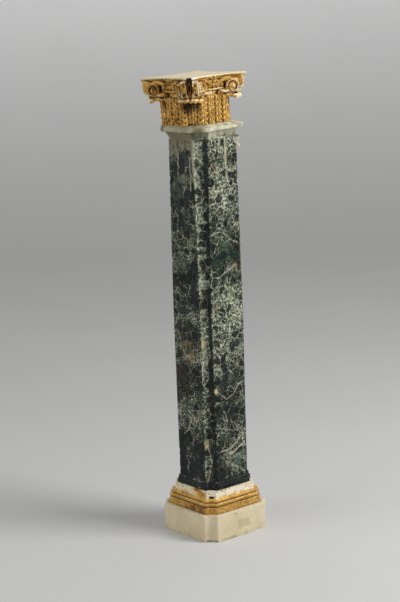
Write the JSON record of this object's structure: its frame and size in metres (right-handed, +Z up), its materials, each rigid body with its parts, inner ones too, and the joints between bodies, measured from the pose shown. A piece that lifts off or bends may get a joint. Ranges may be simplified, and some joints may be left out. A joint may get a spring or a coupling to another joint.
{
  "type": "marble column",
  "caption": "Square dark green marble column with scooped corners, on a gilt moulded base and limestone plinth, under a flared neck collar and a carved gilt capital.",
  "frame": {"origin": "centre of the plinth's underside, on the floor", "axes": "+Z up along the shaft; +X and +Y square to the shaft's faces; the picture's camera stands on the -X -Y corner"},
  "size_m": [0.2253, 0.2231, 1.2052],
  "materials": {
    "limestone": "honed cream limestone with light soiling",
    "gilt_wood": "water gilding over red-brown bole and white gesso, rubbed and worn",
    "green_marble": "polished dark green brecciated marble with pale veins",
    "pale_stone": "chalky stone and plaster, chipped",
    "iron": "rusted wrought iron"
  },
  "bodies": {
    "root": {"plinth": "limestone", "gilt_base": "gilt_wood", "shaft": "green_marble", "neck_collar": "pale_stone", "capital": "gilt_wood", "lower_dowel": "iron", "upper_dowel": "iron"}
  },
  "joints": []
}
